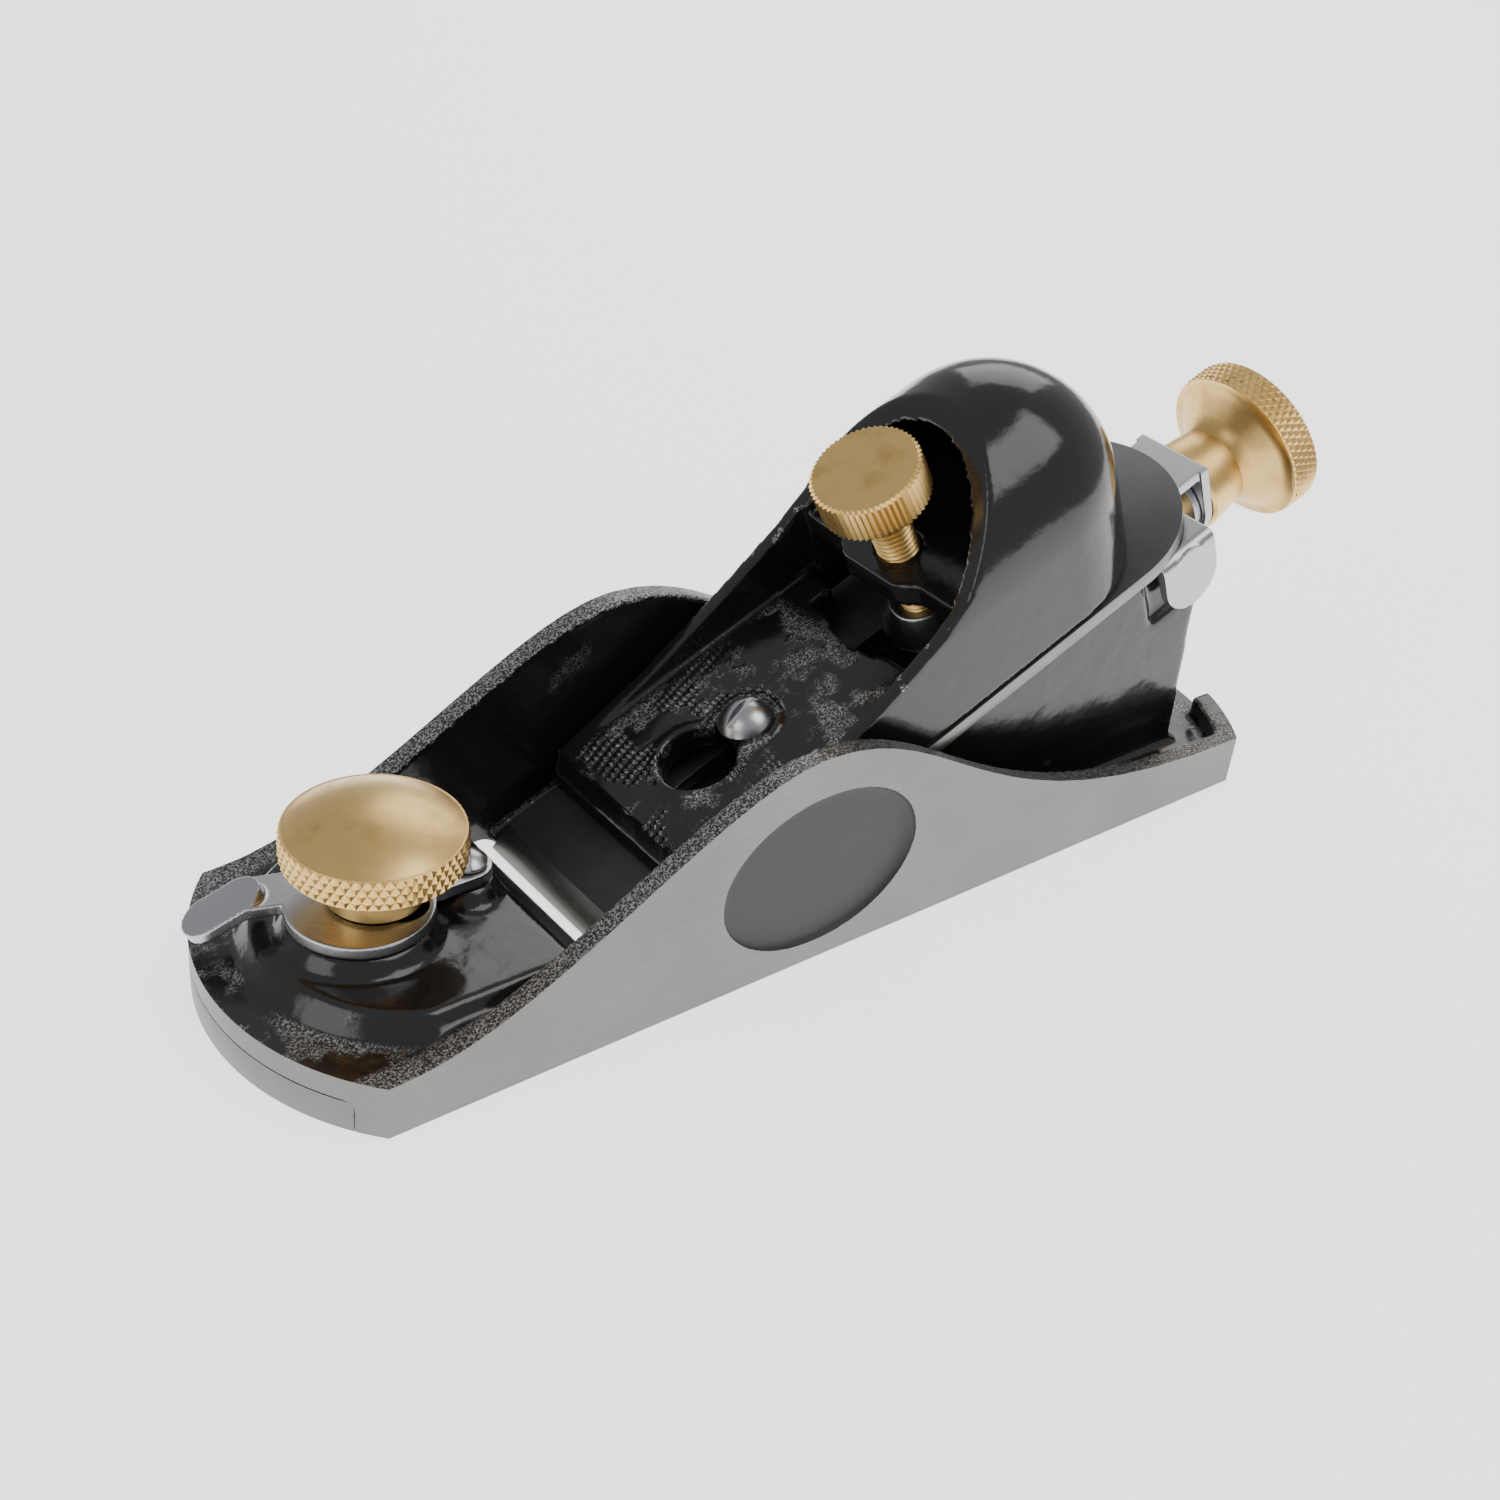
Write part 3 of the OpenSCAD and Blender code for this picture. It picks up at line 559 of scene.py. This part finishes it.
def thread(radius, low, high, pitch, depth):
    """Profile points of a row of thread crests"""
    count = max(1, int((high - low) / pitch))
    step = (high - low) / count
    points = []
    for i in range(count):
        z = low + i * step
        points += [(radius - depth, z), (radius, z + 0.35 * step), (radius, z + 0.5 * step),
                   (radius - depth, z + 0.85 * step)]
    return points + [(radius - depth, high)]


def block(name, low, high):
    """A box between two corners, as a cutting tool or a bar"""
    clear_selection()
    centre = [(a + b) / 2 for a, b in zip(low, high)]
    bpy.ops.mesh.primitive_cube_add(size=1, location=centre)
    piece = bpy.context.object
    piece.name = name
    piece.scale = [b - a for a, b in zip(low, high)]
    bpy.ops.object.transform_apply(location=True, rotation=True, scale=True)
    return piece


# ------------------------------------------------------------------ pieces


class PieceOperator(bpy.types.Operator):
    """Common ground of the operators that each make one group of pieces"""

    bl_options = {"REGISTER", "UNDO"}

    def execute(self, context):
        self.make(context.scene.plane_sizes)
        return {"FINISHED"}


class PLANE_OT_casting(PieceOperator):
    """Body casting: gloss black inside, ground on its sides, nose and heel"""

    bl_idname = "plane.casting"
    bl_label = "Body casting"

    def make(self, sizes):
        piece = copy_of("body", "body_casting")
        swell(piece, 2 * MM)
        soften(piece, sizes.cast_voxel, 6)
        boolean(piece, plan_solid(60 * MM), "INTERSECT")
        paint(piece, "body_japanning", "ground_iron", "finger_rest")
        paint_faces(piece, 1, on_plan)
        paint_faces(piece, 2, in_finger_rest)
        smooth_shade(piece, 40)
        settle(piece, "body", "casting")


def plan_arcs():
    """Half width of the plan, and the arcs that end it: side, radius, centre and corner"""
    half_length, half_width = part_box("body")[1][:2]
    arcs = []
    for side, bulge in ((1, NOSE_BULGE), (-1, HEEL_BULGE)):
        radius = half_width * half_width / (2 * bulge) + bulge / 2
        arcs.append((side, radius, side * (half_length - radius), side * (half_length - bulge)))
    return half_width, arcs


PLAN = plan_arcs()


def plan_outline(steps=72):
    """Points round the plan of the sole"""
    half_width, arcs = PLAN
    points = []
    for side, radius, centre, corner in arcs:
        reach = math.asin(half_width / radius)
        for i in range(steps + 1):
            angle = reach * (2 * i / steps - 1)
            points.append((centre + side * radius * math.cos(angle), side * radius * math.sin(angle)))
    return points


def plan_solid(height):
    """A solid with the plan of the sole, as a cutting tool"""
    points = plan_outline()
    clear_selection()
    bpy.ops.mesh.primitive_circle_add(vertices=len(points), radius=0.01, fill_type="NGON")
    solid = bpy.context.object
    for vertex, (x, y) in zip(solid.data.vertices, points):
        vertex.co = (x, y, 0)
    bpy.ops.object.mode_set(mode="EDIT")
    bpy.ops.mesh.select_all(action="SELECT")
    bpy.ops.mesh.extrude_region_move(TRANSFORM_OT_translate={"value": (0, 0, height)})
    bpy.ops.mesh.select_all(action="SELECT")
    bpy.ops.mesh.normals_make_consistent(inside=False)
    bpy.ops.object.mode_set(mode="OBJECT")
    return solid


def on_outline(x, y):
    """True for a place on the edge of the plan"""
    half_width, arcs = PLAN
    if abs(y) > half_width - FLAT:
        return True
    return any(side * x > side * corner - FLAT and abs(math.hypot(x - centre, y) - radius) < FLAT
               for side, radius, centre, corner in arcs)


def swell(piece, by):
    """Pushes the faces that are ground flat outwards, so that cutting them back leaves sharp edges"""
    half_width, arcs = PLAN
    for vertex in piece.data.vertices:
        x, y, z = vertex.co
        if on_outline(x, y):
            if abs(y) > half_width - FLAT:
                vertex.co.y += math.copysign(by, y)
            if abs(x) > arcs[0][3] - 0.5 * MM:
                vertex.co.x += math.copysign(by, x)
        if z < FLAT:
            vertex.co.z -= by


def on_plan(centre, normal):
    """True for a ground face: the sole, the sides, the nose or the heel"""
    if normal[2] < -0.99 and centre[2] < FLAT:
        return True
    half_width, arcs = PLAN
    if abs(normal[2]) > 0.02:
        return False
    if abs(centre[1]) > half_width - 0.005 * MM:
        return True
    return any(side * centre[0] > side * corner - 0.1 * MM
               and abs(math.hypot(centre[0] - middle, centre[1]) - radius) < 0.03 * MM
               for side, radius, middle, corner in arcs)


def in_finger_rest(centre, normal):
    """True for a face sunk into the oval of a finger rest"""
    across = (centre[0] - REST_CENTRE[0]) / REST_RADII[0]
    up = (centre[2] - REST_CENTRE[1]) / REST_RADII[1]
    sunk = PLAN[0] - abs(centre[1])
    return FLAT < sunk < REST_DEPTH and across * across + up * up < 1


class PLANE_OT_toe(PieceOperator):
    """Sliding toe plate"""

    bl_idname = "plane.toe"
    bl_label = "Sliding toe"

    def make(self, sizes):
        piece = copy_of("toe_plate", "sliding_toe")
        bevel_edges(piece, 0.2 * MM, 2)
        smooth_shade(piece)
        paint(piece, "body_japanning", "ground_iron")
        paint_faces(piece, 1, lambda c, n: n[2] < 0.3)
        settle(piece, "toe_plate", "toe")


class PLANE_OT_front_knob(PieceOperator):
    """Front knob with a domed top and a diamond knurl"""

    bl_idname = "plane.front_knob"
    bl_label = "Front knob"

    def make(self, sizes):
        low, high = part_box("front_knob")
        radius = (high[0] - low[0]) / 2
        collar = 6.0 * MM
        bore = 3.05 * MM
        base, top = low[2], high[2]
        band = (base + 6.0 * MM, base + 10.0 * MM)
        knurl = diamond_knurl("knob_knurl", radius, band[0], band[1], sizes.knob_teeth, sizes.knurl_depth)
        inner = radius - 0.6 * MM
        profile = [(collar - 0.4 * MM, base), (collar, base + 0.4 * MM), (collar, band[0] - 0.6 * MM),
                   (collar + 0.5 * MM, band[0] - 0.1 * MM), (inner - 0.8 * MM, band[0] + 0.05 * MM),
                   (inner - 0.2 * MM, band[0] + 0.5 * MM), (inner - 0.2 * MM, band[1] - 0.3 * MM),
                   (inner, band[1] + 0.02 * MM)]
        profile += dome(inner, top - band[1] - 0.02 * MM, band[1] + 0.02 * MM, 12)
        body = turned("front_knob_brass", profile, 128)
        piece = boolean(body, knurl, "UNION")
        hole = turned("bore", [(bore, base - 1 * MM), (bore, band[1] - 1.5 * MM)], 48)
        boolean(piece, hole, "DIFFERENCE")
        centre = JOINTS["front_knob_turn"]["pos_m"]
        place(piece, Matrix.Translation((centre[0], centre[1], 0)))
        smooth_shade(piece, 30)
        paint(piece, "brass")
        settle(piece, "front_knob", "knob")


class PLANE_OT_mouth_lever(PieceOperator):
    """Eccentric mouth lever and its pivot screw"""

    bl_idname = "plane.mouth_lever"
    bl_label = "Mouth lever"

    def make(self, sizes):
        piece = copy_of("mouth_lever", "eccentric_lever")
        soften(piece, sizes.sheet_voxel, 5)
        paint(piece, "bright_steel")
        settle(piece, "mouth_lever", "eccentric")
        low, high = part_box("mouth_lever_screw")
        centre = JOINTS["mouth_lever_swing"]["pos_m"]
        place_m = Matrix.Translation((centre[0], centre[1], 0))
        screw("mouth_lever_screw", "lever_pivot", place_m, low[2], high[2], (1.8 * MM, 2.5 * MM), 1.7 * MM,
              0.8 * MM, math.radians(60))


def screw(node, name, at, bottom, top, radii, rise, slot, turn):
    """A slotted screw with a domed head, between bottom and top of its own axis"""
    shank, head = radii
    ball = 3.3 * MM if head < 3 * MM else 4.2 * MM
    seat = top - rise
    profile = [(shank - 0.3 * MM, bottom), (shank, bottom + 0.3 * MM), (shank, seat), (head - 0.12 * MM, seat),
               (head, seat + 0.12 * MM)]
    for i in range(9):
        r = max(head * (1 - i / 8), 0.04 * MM)
        profile.append((r, top - ball + math.sqrt(ball * ball - r * r)))
    piece = turned(name, profile, 64)
    cut = block("slot", (-head - MM, -slot / 2, top - 1.15 * MM), (head + MM, slot / 2, top + MM))
    place(cut, Matrix.Rotation(turn, 4, "Z"))
    boolean(piece, cut, "DIFFERENCE")
    bevel_edges(piece, 0.07 * MM, 2, 50)
    place(piece, at)
    smooth_shade(piece, 30)
    paint(piece, "bright_steel")
    settle(piece, node, "casting")


class PLANE_OT_blade(PieceOperator):
    """Bevel-up blade with dark faces and a ground bevel"""

    bl_idname = "plane.blade"
    bl_label = "Blade"

    def make(self, sizes):
        piece = copy_of("blade", "blade_iron")
        bevel_edges(piece, 0.12 * MM, 2)
        smooth_shade(piece)
        paint(piece, "blade_oxide", "honed_steel")
        paint_faces(piece, 1, lambda c, n: abs(n.dot(BED_SQUARE)) < 0.97)
        settle(piece, "blade", "iron")


class PLANE_OT_lever_cap(PieceOperator):
    """Lever cap with its rails, keyhole and domed palm rest"""

    bl_idname = "plane.lever_cap"
    bl_label = "Lever cap"

    def make(self, sizes):
        piece = copy_of("lever_cap", "lever_cap_casting")
        rim = keyhole_rim()
        activate(piece)
        rim.select_set(True)
        bpy.ops.object.join()
        soften(piece, sizes.cap_voxel, 5)
        paint(piece, "cap_japanning")
        settle(piece, "lever_cap", "cap")
        screw("lever_cap_screw", "cap_screw", bed_place(CAP_SCREW_T, 0), -8.2 * MM, CAP_FLOOR + 3.05 * MM,
              (2.5 * MM, 3.7 * MM), 2.9 * MM, 1.05 * MM, math.radians(12.8))


def bed_place(t, n):
    """The matrix of a place on the bed: X up the bed, Z square to it"""
    across = BED_SQUARE.cross(BED_ALONG)
    start = Vector((BED_EDGE, 0, 0)) + BED_ALONG * t + BED_SQUARE * n
    turn = Matrix((BED_ALONG, across, BED_SQUARE)).transposed().to_4x4()
    return Matrix.Translation(start) @ turn


def keyhole_rim():
    """Raised rim round the keyhole of the cap"""
    thick = 0.62 * MM
    hole = CAP_SCREW_T - 8.2 * MM
    clear_selection()
    parts = []
    for t, radius in ((hole, 5.95 * MM), (CAP_SCREW_T, 4.5 * MM)):
        bpy.ops.mesh.primitive_torus_add(location=(t, 0, CAP_FLOOR), major_radius=radius, minor_radius=thick,
                                         major_segments=64, minor_segments=12)
        parts.append(bpy.context.object)
    for y in (-3.7 * MM, 3.7 * MM):
        bpy.ops.mesh.primitive_cylinder_add(vertices=12, radius=thick, depth=3.6 * MM,
                                            location=(hole + 6.4 * MM, y, CAP_FLOOR),
                                            rotation=(0, math.pi / 2, 0))
        parts.append(bpy.context.object)
    activate(parts[0])
    for part in parts:
        part.select_set(True)
    bpy.ops.object.join()
    rim = bpy.context.object
    bpy.ops.object.transform_apply(location=True, rotation=True, scale=True)
    cut = block("neck", (hole, -2.8 * MM, CAP_FLOOR - 2 * MM), (CAP_SCREW_T, 2.8 * MM, CAP_FLOOR + 2 * MM))
    boolean(rim, cut, "DIFFERENCE")
    place(rim, bed_place(0, 0))
    return rim


class PLANE_OT_clamp(PieceOperator):
    """Clamp screw with a straight knurl, and its polished foot"""

    bl_idname = "plane.clamp"
    bl_label = "Clamp screw"

    def make(self, sizes):
        radius = 7.6 * MM
        head = 5.6 * MM
        neck = 3.6 * MM
        shank = 2.9 * MM
        tip = -27.5 * MM
        knurl = straight_knurl("clamp_knurl", radius, -head, 0, sizes.clamp_teeth, sizes.knurl_depth)
        profile = [(shank - 0.4 * MM, tip)] + thread(shank, tip + 0.3 * MM, -head - 2.4 * MM,
                                                    sizes.thread_pitch, 0.4 * MM)
        profile += [(neck - 0.3 * MM, -head - 2.4 * MM), (neck, -head - 2.1 * MM), (neck, -head - 0.8 * MM),
                    (neck - 0.5 * MM, -head - 0.5 * MM), (neck - 0.5 * MM, -head + 0.5 * MM)]
        body = turned("clamp_brass", profile, 64)
        piece = boolean(body, knurl, "UNION")
        place(piece, joint_frame("clamp_turn"))
        smooth_shade(piece, 30)
        paint(piece, "brass")
        settle(piece, "clamp_screw", "clamp")
        foot = copy_of("clamp_foot", "clamp_pad")
        soften(foot, 0.16 * MM, 5)
        paint(foot, "bright_steel")
        settle(foot, "clamp_foot", "foot")


class PLANE_OT_adjuster(PieceOperator):
    """Depth wheel with its collar"""

    bl_idname = "plane.adjuster"
    bl_label = "Depth adjuster"

    def make(self, sizes):
        radius = 12.1 * MM
        neck = 4.0 * MM
        collar = 6.9 * MM
        waist = 6.1 * MM
        start = -4.3 * MM
        cone = 7.9 * MM
        band = (11.5 * MM, 16.25 * MM)
        knurl = diamond_knurl("wheel_knurl", radius, band[0], band[1], sizes.wheel_teeth, sizes.knurl_depth)
        inner = radius - 0.7 * MM
        profile = [(neck - 0.2 * MM, start), (neck, start + 0.2 * MM), (neck, -0.01 * MM), (collar - 0.4 * MM, 0),
                   (collar, 0.4 * MM), (collar, 1.2 * MM), (waist + 0.3 * MM, 5 * MM), (waist, cone - 1.2 * MM),
                   (waist + 0.5 * MM, cone), (waist + 1.6 * MM, cone + 0.9 * MM),
                   (inner - 1.6 * MM, band[0] - 0.7 * MM), (inner, band[0] + 0.2 * MM), (inner, band[1] - 0.5 * MM),
                   (inner - 0.5 * MM, band[1]), (inner - 2.4 * MM, band[1]), (inner - 2.9 * MM, band[1] - 0.8 * MM)]
        body = turned("adjuster_brass", profile, 128)
        piece = boolean(body, knurl, "UNION")
        hole = turned("bore", [(2.58 * MM, start - 1 * MM), (2.58 * MM, 9.6 * MM)], 48)
        boolean(piece, hole, "DIFFERENCE")
        place(piece, joint_frame("adjuster_turn"))
        smooth_shade(piece, 30)
        paint(piece, "brass")
        settle(piece, "adjuster_knob", "wheel")


class PLANE_OT_lateral_lever(PieceOperator):
    """Lateral lever with its rolled finger flap, and the depth slide"""

    bl_idname = "plane.lateral_lever"
    bl_label = "Lateral lever"

    def make(self, sizes):
        piece = copy_of("lateral_lever", "lateral_lever_steel")
        soften(piece, sizes.sheet_voxel, 4)
        paint(piece, "bright_steel")
        settle(piece, "lateral_lever", "iron")
        slide = copy_of("depth_slide", "depth_slide_steel")
        soften(slide, sizes.sheet_voxel, 4)
        paint(slide, "bright_steel")
        settle(slide, "depth_slide", "carriage")


class PLANE_OT_hardware(PieceOperator):
    """Plain steel finish for the stud, spindle, screws, washer, ring, rivet and pin"""

    bl_idname = "plane.hardware"
    bl_label = "Inner hardware"

    def make(self, sizes):
        for node in ("toe_stud", "adjuster_spindle", "knob_retaining_ring", "slide_screw", "slide_washer",
                     "lateral_rivet", "drive_pin"):
            paint(frame["nodes"][node], "plain_steel")


class PLANE_OT_stage(PieceOperator):
    """Floor, soft lights and camera"""

    bl_idname = "plane.stage"
    bl_label = "Stage"

    def make(self, sizes):
        clear_selection()
        bpy.ops.mesh.primitive_plane_add(size=6, location=(0, 0, -0.05 * MM))
        floor = bpy.context.object
        floor.name = "floor"
        bpy.ops.object.transform_apply(location=True, rotation=True, scale=True)
        g = Graph("pale_floor")
        floor.data.materials.append(g.surface(base_color=(0.80, 0.80, 0.80), roughness=0.8,
                                              emission_color=(1.0, 1.0, 1.0), emission_strength=1.7))
        world = bpy.data.worlds.new("soft_room")
        bpy.context.scene.world = world
        world.use_nodes = True
        world.node_tree.nodes["Background"].inputs["Color"].default_value = (0.9, 0.92, 0.95, 1)
        world.node_tree.nodes["Background"].inputs["Strength"].default_value = 0.55
        lamp("key", (-0.25, 0.35, 0.75), 0.50, 2.4)
        lamp("front", (0.60, 0.05, 0.35), 0.35, 0.7)
        lamp("back", (-0.45, -0.40, 0.45), 0.45, 1.3)
        camera()


def lamp(name, place_m, size, watts):
    """A soft square light that faces the plane"""
    bpy.ops.object.light_add(type="AREA", location=place_m)
    light = bpy.context.object
    light.name = name
    light.data.size = size
    light.data.energy = watts
    light.rotation_euler = (Vector((0, 0, 0.02)) - Vector(place_m)).to_track_quat("-Z", "Y").to_euler()


def camera():
    """Camera ahead of the left cheek, looking down over the toe"""
    heading = math.radians(-131.24)
    dip = math.radians(33.15)
    roll = math.radians(6.33)
    bpy.ops.object.camera_add(location=(155.76 * MM, 174.39 * MM, 168.28 * MM))
    eye = bpy.context.object
    ahead = Vector((math.cos(dip) * math.cos(heading), math.cos(dip) * math.sin(heading), -math.sin(dip)))
    level = ahead.to_track_quat("-Z", "Y").to_matrix().to_4x4()
    eye.matrix_world = Matrix.Translation(eye.location) @ level @ Matrix.Rotation(roll, 4, "Z")
    eye.data.lens = 49.96
    eye.data.sensor_width = 36
    eye.data.clip_start = 0.01
    bpy.context.scene.camera = eye


class PLANE_PT_panel(bpy.types.Panel):
    """Lists the steps that make the plane"""

    bl_label = "Block Plane"
    bl_idname = "PLANE_PT_panel"
    bl_space_type = "VIEW_3D"
    bl_region_type = "UI"
    bl_category = "Block Plane"

    def draw(self, context):
        for group in (context.scene.plane_sizes, context.scene.plane_colours):
            for key in group.__annotations__:
                self.layout.prop(group, key)
        for step in STEPS:
            self.layout.operator(step.bl_idname)


STEPS = (
    PLANE_OT_stage,
    PLANE_OT_casting,
    PLANE_OT_toe,
    PLANE_OT_front_knob,
    PLANE_OT_mouth_lever,
    PLANE_OT_blade,
    PLANE_OT_lever_cap,
    PLANE_OT_clamp,
    PLANE_OT_adjuster,
    PLANE_OT_lateral_lever,
    PLANE_OT_hardware,
)
CLASSES = (PlaneSizes, PlaneColours, *STEPS, PLANE_PT_panel)


def register():
    for cls in CLASSES:
        bpy.utils.register_class(cls)
    bpy.types.Scene.plane_sizes = PointerProperty(type=PlaneSizes)
    bpy.types.Scene.plane_colours = PointerProperty(type=PlaneColours)


def unregister():
    del bpy.types.Scene.plane_colours
    del bpy.types.Scene.plane_sizes
    for cls in reversed(CLASSES):
        bpy.utils.unregister_class(cls)


def main():
    register()
    for step in STEPS:
        group, name = step.bl_idname.split(".")
        getattr(getattr(bpy.ops, group), name)()


if __name__ == "__main__":
    main()
